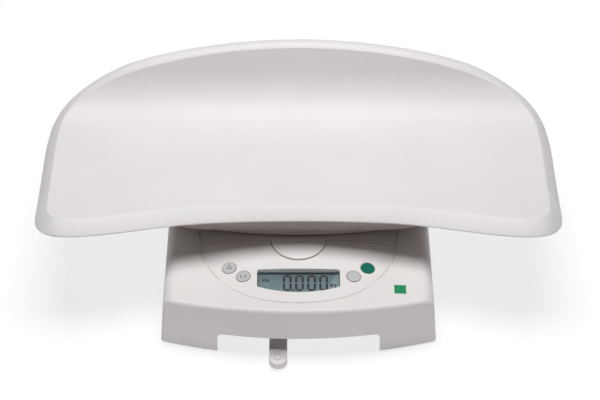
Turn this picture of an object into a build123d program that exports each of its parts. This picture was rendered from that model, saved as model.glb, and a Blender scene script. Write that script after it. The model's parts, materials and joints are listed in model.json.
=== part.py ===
from build123d import *
from math import asin, atan2, cos, degrees, radians, sin, sqrt, tan
import os

# Baby weighing scale: a low housing with a control panel, and a lift-off tray.
# X runs across, the front is at -Y and +Z is up. The origin is at floor level,
# in the middle of the whole scale. Lengths are in millimetres.

# Overall
tray_width = 552.0
overall_height = 180.0
lever_reach = 19.0

# Moulding and fits
wall = 2.8
overrun = 4.0
seat_gap = 0.2
slip_gap = 0.4
run_gap = 0.05
key_gap = 0.3

# Tray trough, seen from the side, with places measured behind the housing front
tray_wall = 3.0
trough_floor = 113.0
trough_front = 150.0
trough_back = 240.0
front_roll = 250.0
back_roll = 63.5
front_sweep = 24.0
back_slope = 65.0
lip_radius = 9.0
lip_depth = 13.0

# Tray outline, seen from above and along the back wall
tray_front = 97.0
front_hollow = 960.0
front_corner = 40.0
arch_radius = 645.0
arch_corner = 78.0

# Housing
base_width = 290.0
base_depth = 285.0
front_bow = 484.0
back_corner = 25.0
draft = 4.5
skirt_bottom = 3.0
front_top = 62.0
cover_rise = 1.5
cover_crown = 2600.0
side_round = 13.0
front_round = 4.5
cut_half = 85.0
cut_top = 26.0
cut_round = 6.0

# Control panel
seam_place = 105.0
panel_half = 103.0
panel_length = 87.0
seam_height = 72.2
panel_front_height = 62.9
panel_crown = 560.0

# Half-round pad in front of the seam
pad_radius = 28.8
pad_proud = 1.6
pad_round = 1.3

# Display
window_half = 43.4
window_top = 64.0
window_corner = 41.0
window_bottom = 32.0
window_round = 2.5
window_depth = 6.4
window_sill = 2.0
lens_thick = 1.2
glass_width = 92.0
glass_length = 38.0
glass_place = 48.0
glass_thick = 2.8
frame_rim = 3.0
strip_length = 90.0
strip_width = 3.0
board_thick = 1.6
board_half = 84.0
board_front = 24.0
board_back = 94.0
board_corner = 12.0
board_drop = 13.2
post_radius = 3.2
board_screw_shank = 1.2
board_screw_head = 2.6
board_screw_thick = 1.6
board_screw_length = 5.0
post_across = 76.0
post_near = 34.0
post_far = 88.0

# Keys
key_radius = 7.1
key_proud = 0.5
key_flange = 1.2
key_flange_thick = 1.2
key_round = 0.4
key_stem_radius = 1.6
key_travel = 0.7
key_rest = 0.2
switch_side = 6.2
switch_body = 1.6
switch_height = 2.2
switch_plunger = 1.5
outer_key_across = 72.8
outer_key_place = 69.0
inner_key_across = 57.8
inner_key_place = 56.0

# Platform plate
plate_thick = 4.0
plate_flare = 8.0
plate_flare_length = 45.0
plate_back_inset = 35.0
plate_corner = 16.0
cup_across = 70.0
cup_inset = 30.0
cup_back_inset = 17.0
cup_radius = 8.4
cup_wall = 2.5
cup_floor = 60.0

# Tray mount
mount_half = 96.0
mount_front = 110.0
mount_back_inset = 40.0
mount_bow = 260.0
mount_corner = 14.0
mount_gap = 1.6
hull_half = 150.0
hull_front = 108.5
hull_bow = 2200.0
hull_corner = 46.0
hull_bottom = 79.0
hull_flare = 30.0
hull_round = 12.0
hull_gap = 1.0
mount_boss_across = 48.0
mount_boss_spread = 23.0
mount_boss_radius = 5.0
mount_screw_head = 8.0
mount_screw_thick = 2.4
mount_screw_shank = 2.0
mount_screw_length = 4.4

# Lock lever
lever_across = -21.2
lever_width = 18.8
lever_bottom = 2.0
lever_thick = 8.0
lever_round = 1.0
pivot_place = 122.0
hub_radius = 13.0
pivot_radius = 5.0
pivot_top = 76.4
bearing_wall = 4.0
bearing_gap = 0.3
cam_thick = 4.0
cam_hub = 7.6
cam_half = 5.0
cam_reach = 26.0
cam_screw_head = 6.0
cam_screw_thick = 2.6
cam_screw_shank = 2.0
cam_screw_length = 12.0
keeper_ledge = 3.0
keeper_gap = 0.5
keeper_width = 11.0
keeper_length = 18.0
keeper_post = 4.0

# Base pan
pan_wall = 2.5
rail_floor = 9.5
pan_floor = 26.5
pan_rim = 36.0
pan_gap = 0.3

# Feet and load cells
foot_across = 114.0
foot_near = 46.0
foot_back_inset = 45.0
pad_thick = 2.5
pad_foot_radius = 13.0
knob_radius = 15.0
knob_thick = 3.6
knob_notches = 12
knob_notch = 1.6
stem_radius = 4.0
stem_top = 24.0
stem_hole = 5.6
pivot_tip_radius = 2.4
pivot_tip_depth = 1.4
cell_side = 36.0
cell_thick = 7.0
cell_slot = 2.2
cell_rim = 5.0
cell_seat = 2.0
cell_seat_width = 4.0
cell_screw_across = 15.0
cell_screw_shank = 1.5
cell_screw_head = 2.6
cell_screw_thick = 1.6
cell_screw_length = 10.0

# Cover screws
cover_screw_across = 128.0
cover_screw_near = 86.0
cover_screw_back_inset = 89.0
cover_post_radius = 4.6
cover_screw_hole = 1.8
cover_screw_shank = 1.6
cover_screw_head = 3.2
cover_screw_thick = 2.2
cover_screw_length = 14.0

# Battery compartment
battery_radius = 7.2
battery_length = 49.0
battery_nub_radius = 2.7
battery_nub = 1.4
battery_across = 32.0
battery_back_inset = 81.0
battery_pitch = 15.2
box_gap = 0.4
box_wall = 2.0
box_height = 15.5
contact_thick = 0.5
contact_width = 9.0
contact_height = 11.0
leaf_depth = 4.0
leaf_width = 5.0
leaf_height = 9.0
door_thick = 2.4
door_drop = 0.9
door_half = 31.0
door_margin = 5.0
door_rail = 2.4
door_lip = 3.0
door_rib = 1.2
door_rib_count = 5
door_rib_pitch = 4.0
door_rib_half = 15.0

# Bubble level
level_inset = 26.2
level_radius = 6.0
level_height = 5.0
level_rim = 1.4
level_bore = 5.4


# Derived places, with the housing front as the datum
slope = radians(back_slope)
wall_foot_back = trough_back + back_roll * sin(slope)
wall_foot_height = trough_floor + back_roll * (1 - cos(slope))
lip_corner_height = overall_height - lip_radius * (1 - sin(slope) - cos(slope))
wall_run = (lip_corner_height - wall_foot_height) / sin(slope)
lip_corner_back = wall_foot_back + wall_run * cos(slope)
tray_back = lip_corner_back + lip_depth * sin(slope)
overall_depth = lever_reach + tray_back
front = lever_reach - overall_depth / 2
half_tray = tray_width / 2
arch_tilt = 90 - back_slope
arch_top = lip_corner_back * sin(radians(arch_tilt)) + lip_corner_height * cos(radians(arch_tilt))

panel_rise = atan2(seam_height - panel_front_height, panel_length)
panel_slope = degrees(panel_rise)
reach = tray_width
plate_back = base_depth - plate_back_inset
mount_back = base_depth - mount_back_inset
cup_near = mount_front + cup_inset
cup_far = mount_back - cup_back_inset
mount_middle = (mount_front + mount_back) / 2
mount_boss_near = mount_middle - mount_boss_spread
mount_boss_far = mount_middle + mount_boss_spread
foot_far = base_depth - foot_back_inset
cover_screw_far = base_depth - cover_screw_back_inset
battery_middle = base_depth - battery_back_inset
level_place = base_depth - level_inset


def crown_drop(across, radius):
    """How far a crowned surface lies below its middle line."""
    return radius - sqrt(radius**2 - across**2)


def panel_height(across, place):
    """Height of the control panel's surface."""
    middle = seam_height - (seam_place - place) * tan(panel_rise)
    return middle - crown_drop(across, panel_crown)


def panel_spot(across, place, sink=0):
    """Plane on the control panel, square to its surface, sunk by a depth."""
    tilt = asin(across / panel_crown)
    normal = Vector(sin(tilt), -sin(panel_rise) * cos(tilt), cos(panel_rise) * cos(tilt))
    origin = Vector(across, front + place, panel_height(across, place))
    return Plane(origin=origin - normal * sink, x_dir=(cos(tilt), 0, -sin(tilt)), z_dir=normal)


def crowned_block(height, radius, place=0, rise=0):
    """Solid under a crowned surface, this high at one place, climbing to the back."""
    half = base_width / 2 + overrun
    climb = radians(rise)
    top = height - (place + overrun) * tan(climb)
    shoulder = top - crown_drop(half, radius)
    length = base_depth + 2 * overrun
    with BuildPart() as block:
        with BuildSketch(Plane.XZ.offset(overrun - front)):
            with BuildLine():
                ThreePointArc((-half, shoulder), (0, top), (half, shoulder))
                Polyline((half, shoulder), (half, -reach), (-half, -reach), (-half, shoulder))
            make_face()
        extrude(amount=length / cos(climb), dir=(0, cos(climb), sin(climb)))
    return block.part


def trough_curve(depth):
    """Tray profile, this deep under the inner surface; gives both its ends."""
    front_centre = (front + trough_front, trough_floor + front_roll)
    back_centre = (front + trough_back, trough_floor + back_roll)
    first = CenterArc(front_centre, front_roll + depth, -90 - front_sweep, front_sweep)
    Line(first @ 1, (front + trough_back, trough_floor - depth))
    second = CenterArc(back_centre, back_roll + depth, -90, back_slope)
    last = Line(second @ 1, second @ 1 + Vector(cos(slope), sin(slope)) * (wall_run + lip_depth))
    return first @ 0, last @ 1


def trough_band(upper, lower):
    """Slab that follows the tray profile between two depths."""
    with BuildPart() as band:
        with BuildSketch(Plane.YZ):
            with BuildLine():
                near_a, far_a = trough_curve(upper)
                near_b, far_b = trough_curve(lower)
                Line(near_a, near_b)
                Line(far_a, far_b)
            make_face()
        extrude(amount=half_tray + overrun, both=True)
    return band.part


def tray_body(inset, upper, lower):
    """Slab of the tray cut to its outline, with its upper edge rolled over."""
    band = trough_band(upper, lower)
    end_sweep = front_hollow - sqrt(front_hollow**2 - half_tray**2)
    near = front + tray_front
    with BuildPart() as body:
        add(band)
        with BuildSketch(Plane.XY):
            with BuildLine():
                bow = ThreePointArc(
                    (-half_tray, near - end_sweep), (0, near), (half_tray, near - end_sweep)
                )
                Polyline(bow @ 1, (half_tray, reach), (-half_tray, reach), bow @ 0)
            make_face()
            fillet(vertices().group_by(Axis.Y)[0], front_corner)
            offset(amount=-inset, kind=Kind.INTERSECTION)
        extrude(amount=overall_height + overrun, mode=Mode.INTERSECT)
        tilt = radians(arch_tilt)
        arch_plane = Plane(
            origin=(0, front, 0), x_dir=(1, 0, 0), z_dir=(0, -cos(tilt), sin(tilt))
        )
        arch_end = arch_top - crown_drop(half_tray, arch_radius)
        with BuildSketch(arch_plane):
            with BuildLine():
                arch = ThreePointArc((-half_tray, arch_end), (0, arch_top), (half_tray, arch_end))
                Polyline(arch @ 1, (half_tray, -reach), (-half_tray, -reach), arch @ 0)
            make_face()
            fillet(vertices().group_by(Axis.Z)[-1], arch_corner)
            offset(amount=-inset, kind=Kind.INTERSECTION)
        extrude(amount=reach, both=True, mode=Mode.INTERSECT)
        fillet(rim_edges(faces()), lip_radius - inset)
    return body.part


def rim_edges(all_faces):
    """Outer edges of the faces that look up into the trough."""
    upper = []
    for face in all_faces:
        normal = face.normal_at()
        if abs(normal.X) < 0.05 and normal.Y < 0.3 and normal.Z > 0.3:
            upper.append(face)
    edges = [edge for face in upper for edge in face.edges()]
    return [edge for edge in edges if edges.count(edge) == 1]


def housing_block(inset, high):
    """Plan of the housing, inset, rising from the skirt's edge with its draft."""
    half = base_width / 2
    end = front + crown_drop(half, front_bow)
    back = front + base_depth
    with BuildPart() as block:
        with BuildSketch(Plane.XY.offset(skirt_bottom)):
            with BuildLine():
                bow = ThreePointArc((-half, end), (0, front), (half, end))
                Polyline(bow @ 1, (half, back), (-half, back), bow @ 0)
            make_face()
            fillet(vertices().group_by(Axis.Y)[-1], back_corner)
            offset(amount=-inset, kind=Kind.INTERSECTION)
        extrude(amount=high - skirt_bottom, taper=draft)
    return block.part


def cover_form(inset):
    """Main form of the cover, or its hollow when inset by the wall."""
    block = housing_block(inset, overall_height / 2)
    under = crowned_block(front_top - inset, cover_crown, 0, cover_rise)
    with BuildPart() as form:
        add(block)
        add(under, mode=Mode.INTERSECT)
        top = faces().sort_by(Axis.Z)[-1]
        front_edge = top.edges().sort_by(Axis.Y)[0]
        fillet([e for e in top.edges() if e != front_edge], side_round - inset)
        if inset == 0:
            fillet(faces().sort_by(Axis.Y)[0].edges().group_by(Axis.Z)[-1], front_round)
    return form.part


def panel_prism(inset, cut_back):
    """Half ellipse of the control panel, as a tall prism."""
    with BuildPart() as prism:
        with BuildSketch(Plane.XY.offset(rail_floor)):
            with Locations((0, front + seam_place)):
                Ellipse(panel_half - inset, panel_length - inset)
            with Locations((0, front + seam_place - cut_back + panel_length)):
                Rectangle(3 * panel_half, 2 * panel_length, mode=Mode.SUBTRACT)
        extrude(amount=overall_height / 2)
    return prism.part


def plate_prism(outset):
    """Outline of the platform plate, as a tall prism."""
    wide = panel_half + plate_flare
    flare_end = front + seam_place + plate_flare_length
    with BuildPart() as prism:
        with BuildSketch(Plane.XY.offset(rail_floor)):
            with BuildLine():
                Polyline(
                    (-panel_half, front + seam_place),
                    (panel_half, front + seam_place),
                    (wide, flare_end),
                    (wide, front + plate_back),
                    (-wide, front + plate_back),
                    (-wide, flare_end),
                    (-panel_half, front + seam_place),
                )
            make_face()
            fillet(vertices().group_by(Axis.Y)[-1], plate_corner)
            offset(amount=outset, kind=Kind.INTERSECTION)
        extrude(amount=overall_height / 2)
    return prism.part


def rounded_pad():
    """Raised half-round pad against the seam."""
    under = crowned_block(seam_height + pad_proud, panel_crown, seam_place, panel_slope)
    with BuildPart() as pad:
        with BuildSketch(Plane.XY.offset(pan_rim)):
            with Locations((0, front + seam_place)):
                Circle(pad_radius)
            with Locations((0, front + seam_place - slip_gap + pad_radius)):
                Rectangle(3 * pad_radius, 2 * pad_radius, mode=Mode.SUBTRACT)
        extrude(amount=overall_height / 2)
        add(under, mode=Mode.INTERSECT)
        top = faces().sort_by(Axis.Z)[-1]
        fillet(top.edges().sort_by(Axis.Y)[0], pad_round)
    return pad.part


def window_face(depth, outset):
    """Display opening with its bowed lower edge, at a depth under the panel."""
    with BuildSketch(panel_layer(depth)) as face:
        with BuildLine():
            bow = ThreePointArc(
                (-window_half, along(window_corner)),
                (0, along(window_bottom)),
                (window_half, along(window_corner)),
            )
            top = along(window_top)
            Polyline(bow @ 1, (window_half, top), (-window_half, top), bow @ 0)
        make_face()
        fillet(vertices(), window_round)
        if outset:
            offset(amount=outset)
    return face.sketch


def along(place):
    """Distance from the seam, measured on the panel's slope."""
    return (place - seam_place) / cos(panel_rise)


def panel_layer(depth):
    """Plane parallel to the panel's middle line, this deep under it."""
    origin = Vector(0, front + seam_place, seam_height)
    normal = Vector(0, -sin(panel_rise), cos(panel_rise))
    return Plane(origin=origin - normal * depth, x_dir=(1, 0, 0), z_dir=normal)


def pairs(across, *places):
    """The same spots on both sides, at places behind the housing front."""
    return [(side * across, front + place) for place in places for side in (-1, 1)]


def peg(spots, radius, low, high, bore=0):
    """Upright round pegs or posts, with a bore if one is given."""
    with BuildPart() as pegs:
        with BuildSketch(Plane.XY.offset(low)):
            with Locations(spots):
                Circle(radius)
                if bore:
                    Circle(bore, mode=Mode.SUBTRACT)
        extrude(amount=high - low)
    return pegs.part


os.makedirs("parts", exist_ok=True)
foot_spots = pairs(foot_across, foot_near, foot_far)
cup_spots = pairs(cup_across, cup_near, cup_far)
mount_spots = pairs(mount_boss_across, mount_boss_near, mount_boss_far)
cover_screw_spots = pairs(cover_screw_across, cover_screw_near, cover_screw_far)
pivot_spot = [(lever_across, front + pivot_place)]
plate_under = seam_height - plate_thick
shelf_height = plate_under - seat_gap

# Tray shell: a thin trough with its rim rolled over all round
tray_outer = tray_body(0, 0, lip_depth)
tray_inner = tray_body(tray_wall, tray_wall, lip_depth + overrun)
tray_under = trough_floor - tray_wall
boss_end = tray_under - wall
boss_bore_top = boss_end + mount_screw_length + seat_gap
tray_bosses = peg(mount_spots, mount_boss_radius, boss_end, trough_floor - tray_wall / 2)
tray_bores = peg(mount_spots, mount_screw_shank, boss_end, boss_bore_top)
with BuildPart() as tray_shell:
    add(tray_outer)
    add(tray_inner, mode=Mode.SUBTRACT)
    add(tray_bosses)
    add(tray_bores, mode=Mode.SUBTRACT)
tray_shell.part.label = "tray_shell"
export_step(tray_shell.part, "parts/tray_shell.step")


def bowed_outline(half, near, back, radius, corner, inset, height):
    """Plan with a bowed front and rounded corners, inset, at a height."""
    end = near + crown_drop(half, radius)
    with BuildSketch(Plane.XY.offset(height)) as outline:
        with BuildLine():
            bow = ThreePointArc((-half, end), (0, near), (half, end))
            Polyline(bow @ 1, (half, back), (-half, back), bow @ 0)
        make_face()
        fillet(vertices(), corner)
        offset(amount=-inset, kind=Kind.INTERSECTION)
    return outline.sketch


def mount_form(inset, low):
    """Tray mount: a foot on the plate, and a hull that flares up to the tray."""
    back = front + mount_back
    foot_near, hull_near = front + mount_front, front + hull_front
    foot = bowed_outline(mount_half, foot_near, back, mount_bow, mount_corner, inset, low)
    hull = bowed_outline(
        hull_half, hull_near, back, hull_bow, hull_corner, inset, hull_bottom + inset
    )
    under = tray_body(tray_wall + inset + hull_gap, tray_wall + inset, overall_height / 2)
    with BuildPart() as form:
        extrude(hull, amount=overall_height / 2, taper=-hull_flare)
        fillet(edges().group_by(Axis.Z)[0], hull_round - inset)
        add(under, mode=Mode.INTERSECT)
        extrude(foot, amount=tray_under - wall - low)
    return form.part


# Tray mount: a hollow foot under the tray, with four pegs and the keeper
mount_low = plate_under - crown_drop(mount_half, panel_crown)
mount_outer = mount_form(0, mount_low)
mount_inner = mount_form(wall, mount_low - overrun)
mount_floor = crowned_block(seam_height + mount_gap, panel_crown)
mount_roof = tray_body(tray_wall + wall / 2, tray_wall + wall / 2, overall_height / 2)
mount_posts = peg(cup_spots, cup_radius - slip_gap, cup_floor, overall_height, cup_radius / 2)
mount_holes = peg(mount_spots, mount_boss_radius + slip_gap, boss_end - overrun, trough_floor)
ledge_top = pivot_top - keeper_gap
ledge_near = lever_across + cam_half + keeper_gap
post_near_side = ledge_near + keeper_width
ledge_middle = front + pivot_place + cam_hub + keeper_gap + keeper_length / 2
with BuildPart() as mount_pegs:
    add(mount_posts)
    add(mount_roof, mode=Mode.INTERSECT)
with BuildPart() as keeper:
    with BuildSketch(Plane.XY.offset(ledge_top - keeper_ledge)):
        with Locations((ledge_near + (keeper_width + keeper_post) / 2, ledge_middle)):
            Rectangle(keeper_width + keeper_post, keeper_length)
    extrude(amount=keeper_ledge)
    with BuildSketch(Plane.XY.offset(ledge_top - keeper_ledge)):
        with Locations((post_near_side + keeper_post / 2, ledge_middle)):
            Rectangle(keeper_post, keeper_length)
    extrude(amount=overall_height - ledge_top)
    add(mount_roof, mode=Mode.INTERSECT)
with BuildPart() as tray_mount:
    add(mount_outer)
    add(mount_floor, mode=Mode.SUBTRACT)
    add(mount_inner, mode=Mode.SUBTRACT)
    add(mount_pegs.part)
    add(keeper.part)
    add(mount_holes, mode=Mode.SUBTRACT)
tray_mount.part.label = "tray_mount"
export_step(tray_mount.part, "parts/tray_mount.step")

# Screws that hold the mount to the tray's bosses
with BuildPart() as tray_mount_screws:
    with BuildSketch(Plane.XY.offset(boss_end - mount_screw_thick)):
        with Locations(mount_spots):
            Circle(mount_screw_head)
    extrude(amount=mount_screw_thick)
    fillet(edges().group_by(Axis.Z)[0], mount_screw_thick / 3)
    with BuildSketch(Plane.XY.offset(boss_end)):
        with Locations(mount_spots):
            Circle(mount_screw_shank - run_gap)
    extrude(amount=boss_bore_top - boss_end - seat_gap)
tray_mount_screws.part.label = "tray_mount_screws"
export_step(tray_mount_screws.part, "parts/tray_mount_screws.step")

# Top cover
panel_under = crowned_block(seam_height, panel_crown, seam_place, panel_slope)
panel_inside = crowned_block(seam_height - wall, panel_crown, seam_place, panel_slope)
shelf_under = crowned_block(shelf_height, panel_crown)
shelf_inside = crowned_block(shelf_height - wall, panel_crown)
panel_full = panel_prism(0, 0)
plate_pocket = plate_prism(slip_gap)

with BuildPart() as panel_island:
    add(panel_full)
    add(panel_under, mode=Mode.INTERSECT)
with BuildPart() as plate_shelf:
    add(plate_pocket)
    add(shelf_under, mode=Mode.INTERSECT)
with BuildPart() as cover_outside:
    add(cover_form(0))
    add(panel_full, mode=Mode.SUBTRACT)
    add(panel_island.part)
    add(plate_pocket, mode=Mode.SUBTRACT)
    add(plate_shelf.part)
    add(rounded_pad())

with BuildPart() as over_panel:
    add(panel_prism(-wall, 0))
    add(panel_inside, mode=Mode.SUBTRACT)
with BuildPart() as over_shelf:
    add(plate_prism(slip_gap + wall))
    add(shelf_inside, mode=Mode.SUBTRACT)
with BuildPart() as island_hollow:
    add(panel_prism(wall, slip_gap + wall))
    add(panel_inside, mode=Mode.INTERSECT)
with BuildPart() as shelf_hollow:
    add(plate_prism(slip_gap - wall))
    add(shelf_inside, mode=Mode.INTERSECT)
hollow_foot = housing_block(wall, cut_top)
with BuildPart() as cover_inside:
    add(cover_form(wall))
    add(over_panel.part, mode=Mode.SUBTRACT)
    add(over_shelf.part, mode=Mode.SUBTRACT)
    add(island_hollow.part)
    add(shelf_hollow.part)
    extrude(hollow_foot.faces().sort_by(Axis.Z)[0], amount=overrun)

# Posts for the circuit board and the cover's screws, and the window's collar
post_spots = [
    (side * post_across, along(place)) for place in (post_near, post_far) for side in (-1, 1)
]
with BuildPart() as board_posts:
    with BuildSketch(panel_layer(board_drop)):
        with Locations(post_spots):
            Circle(post_radius)
    extrude(amount=2 * board_drop)
with BuildPart() as board_bores:
    with BuildSketch(panel_layer(board_drop)):
        with Locations(post_spots):
            Circle(board_screw_shank + run_gap)
    extrude(amount=board_screw_length + seat_gap)
rail_top = rail_floor + pan_wall
cover_bore_top = rail_floor + cover_screw_length + seat_gap
cover_posts = peg(cover_screw_spots, cover_post_radius, rail_top, overall_height / 2)
cover_bores = peg(cover_screw_spots, cover_screw_shank + run_gap, rail_floor, cover_bore_top)

level_top = front_top + level_place * tan(radians(cover_rise))
level_spot = [(0, front + level_place)]
level_floor = level_top - level_bore
level_cup = peg(level_spot, level_radius + level_rim, level_floor - level_rim, overall_height / 2)
level_hole = peg(level_spot, level_radius + run_gap, level_floor, level_top + overrun)
keys = {
    "key_triangle": (-outer_key_across, outer_key_place),
    "key_arrows": (-inner_key_across, inner_key_place),
    "key_hold": (inner_key_across, inner_key_place),
    "key_start": (outer_key_across, outer_key_place),
}
with BuildPart() as cover_room:
    add(cover_inside.part)
    add(board_posts.part, mode=Mode.SUBTRACT)
    add(cover_posts, mode=Mode.SUBTRACT)
    add(level_cup, mode=Mode.SUBTRACT)
    extrude(window_face(window_depth, window_sill), amount=2 * window_depth, mode=Mode.SUBTRACT)
with BuildPart() as top_cover:
    add(cover_outside.part)
    add(cover_room.part, mode=Mode.SUBTRACT)
    add(board_bores.part, mode=Mode.SUBTRACT)
    add(cover_bores, mode=Mode.SUBTRACT)
    add(level_hole, mode=Mode.SUBTRACT)
    extrude(window_face(board_drop, 0), amount=2 * board_drop, mode=Mode.SUBTRACT)
    for across, place in keys.values():
        with BuildSketch(panel_spot(across, place, wall + overrun)):
            Circle(key_radius + key_gap)
        extrude(amount=wall + 2 * overrun, mode=Mode.SUBTRACT)
    with BuildSketch(Plane.XY.offset(cup_floor - overrun)):
        with Locations(cup_spots):
            Circle(cup_radius + cup_wall + slip_gap)
        with Locations(pivot_spot):
            Circle(pivot_radius + slip_gap)
    extrude(amount=overall_height / 2, mode=Mode.SUBTRACT)
    with BuildSketch(Plane.XZ.offset(overrun - front)):
        with Locations((0, cut_top / 2 - overrun)):
            Rectangle(2 * cut_half, cut_top + 2 * overrun)
        fillet(vertices().group_by(Axis.Y)[-1], cut_round)
    extrude(amount=-(base_depth + 2 * overrun), mode=Mode.SUBTRACT)
top_cover.part.label = "top_cover"
export_step(top_cover.part, "parts/top_cover.step")

# Platform plate with the cups that take the tray mount's pegs
plate_top = crowned_block(seam_height, panel_crown)
cup_posts = peg(cup_spots, cup_radius + cup_wall, cup_floor - cup_wall, overall_height / 2)
with BuildPart() as platform_plate:
    add(plate_prism(0))
    add(crowned_block(plate_under, panel_crown), mode=Mode.SUBTRACT)
    add(cup_posts)
    add(plate_top, mode=Mode.INTERSECT)
    add(peg(cup_spots, cup_radius, cup_floor, overall_height / 2), mode=Mode.SUBTRACT)
    add(peg(pivot_spot, pivot_radius + run_gap, cup_floor, overall_height / 2), mode=Mode.SUBTRACT)
platform_plate.part.label = "platform_plate"
export_step(platform_plate.part, "parts/platform_plate.step")

# Display, in layers that lie parallel to the panel
glass_depth = window_depth + lens_thick
glass_spot = (0, along(glass_place))
with BuildPart() as display_window:
    extrude(window_face(glass_depth, window_sill), amount=lens_thick)
display_window.part.label = "display_window"
export_step(display_window.part, "parts/display_window.step")

with BuildPart() as lcd_glass:
    with BuildSketch(panel_layer(glass_depth + glass_thick)):
        with Locations(glass_spot):
            Rectangle(glass_width, glass_length)
    extrude(amount=glass_thick)
lcd_glass.part.label = "lcd_glass"
export_step(lcd_glass.part, "parts/lcd_glass.step")

with BuildPart() as lcd_frame:
    with BuildSketch(panel_layer(board_drop)):
        with Locations(glass_spot):
            Rectangle(glass_width + 2 * frame_rim, glass_length + 2 * frame_rim)
            Rectangle(glass_width + 2 * seat_gap, glass_length + 2 * seat_gap, mode=Mode.SUBTRACT)
    extrude(amount=board_drop - glass_depth)
lcd_frame.part.label = "lcd_frame"
export_step(lcd_frame.part, "parts/lcd_frame.step")

with BuildPart() as contact_strips:
    with BuildSketch(panel_layer(board_drop)):
        with Locations(glass_spot):
            with GridLocations(0, glass_length - strip_width, 1, 2):
                Rectangle(strip_length, strip_width)
    extrude(amount=board_drop - glass_depth - glass_thick)
contact_strips.part.label = "contact_strips"
export_step(contact_strips.part, "parts/contact_strips.step")

with BuildPart() as circuit_board:
    with BuildSketch(panel_layer(board_drop + board_thick)):
        with Locations((0, along((board_front + board_back) / 2))):
            RectangleRounded(2 * board_half, along(board_back) - along(board_front), board_corner)
        with Locations(post_spots):
            Circle(board_screw_shank + run_gap, mode=Mode.SUBTRACT)
    extrude(amount=board_thick)
circuit_board.part.label = "circuit_board"
export_step(circuit_board.part, "parts/circuit_board.step")

with BuildPart() as board_screws:
    with BuildSketch(panel_layer(board_drop + board_thick + board_screw_thick)):
        with Locations(post_spots):
            Circle(board_screw_head)
    extrude(amount=board_screw_thick)
    with BuildSketch(panel_layer(board_drop + board_thick)):
        with Locations(post_spots):
            Circle(board_screw_shank)
    extrude(amount=board_screw_length + board_thick)
board_screws.part.label = "board_screws"
export_step(board_screws.part, "parts/board_screws.step")

# Tact switches under the keys
switch_spots = [(across, along(place)) for across, place in keys.values()]
with BuildPart() as key_switches:
    with BuildSketch(panel_layer(board_drop)):
        with Locations(switch_spots):
            Rectangle(switch_side, switch_side)
    extrude(amount=switch_body)
    with BuildSketch(panel_layer(board_drop)):
        with Locations(switch_spots):
            Circle(switch_plunger)
    extrude(amount=switch_height)
key_switches.part.label = "key_switches"
export_step(key_switches.part, "parts/key_switches.step")

# Keys, each with a flange under the panel and a stem down to its switch
for label, (across, place) in keys.items():
    flange_low = wall + key_rest + key_flange_thick
    stem_low = board_drop - switch_height - key_travel - key_gap - crown_drop(across, panel_crown)
    with BuildPart() as key:
        with BuildSketch(panel_spot(across, place, wall + key_rest)):
            Circle(key_radius)
        extrude(amount=wall + key_rest + key_proud)
        fillet(faces().sort_by(Axis.Z)[-1].edges(), key_round)
        with BuildSketch(panel_spot(across, place, flange_low)):
            Circle(key_radius + key_flange)
        extrude(amount=key_flange_thick)
        with BuildSketch(panel_spot(across, place, stem_low)):
            Circle(key_stem_radius)
        extrude(amount=stem_low - flange_low)
    key.part.label = label
    export_step(key.part, f"parts/{label}.step")

# Bubble level let into the back of the cover
with BuildPart() as bubble_level:
    with BuildSketch(Plane.XY.offset(level_floor)):
        with Locations(level_spot):
            Circle(level_radius)
    extrude(amount=level_height)
    fillet(edges().group_by(Axis.Z)[-1], level_rim / 2)
bubble_level.part.label = "bubble_level"
export_step(bubble_level.part, "parts/bubble_level.step")

# Base pan: two side rails, a raised middle and the battery box
channel_half = cut_half + slip_gap
pan_top = pan_floor + pan_wall
battery_run = 2 * (battery_length + battery_nub)
box_length = battery_run + contact_thick + leaf_depth
box_half = battery_pitch + battery_radius + box_gap
box_near = front + battery_middle - box_length / 2
box_spot = (battery_across, front + battery_middle)
door_top = pan_floor - door_drop
door_low = door_top - door_thick
lip_top = door_low - seat_gap
rail_length = box_length + 2 * door_margin
cell_screw_spots = [
    (across + side * cell_screw_across, place + side * cell_screw_across)
    for across, place in foot_spots
    for side in (-1, 1)
]
cell_low = rail_top + cell_seat
cell_top = cell_low + cell_thick
cell_screw_end = cell_top - cell_screw_length
boss_low = lever_bottom + lever_thick + bearing_gap
pan_block = housing_block(wall + pan_gap, pan_rim)
pan_room = housing_block(wall + pan_gap + pan_wall, pan_rim + overrun)
with BuildPart() as pan_hollow:
    add(pan_room)
    with BuildSketch():
        Rectangle(reach, reach)
    extrude(amount=rail_top, mode=Mode.SUBTRACT)
    with BuildSketch():
        Rectangle(2 * (channel_half + pan_wall), reach)
    extrude(amount=pan_top, mode=Mode.SUBTRACT)
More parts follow.
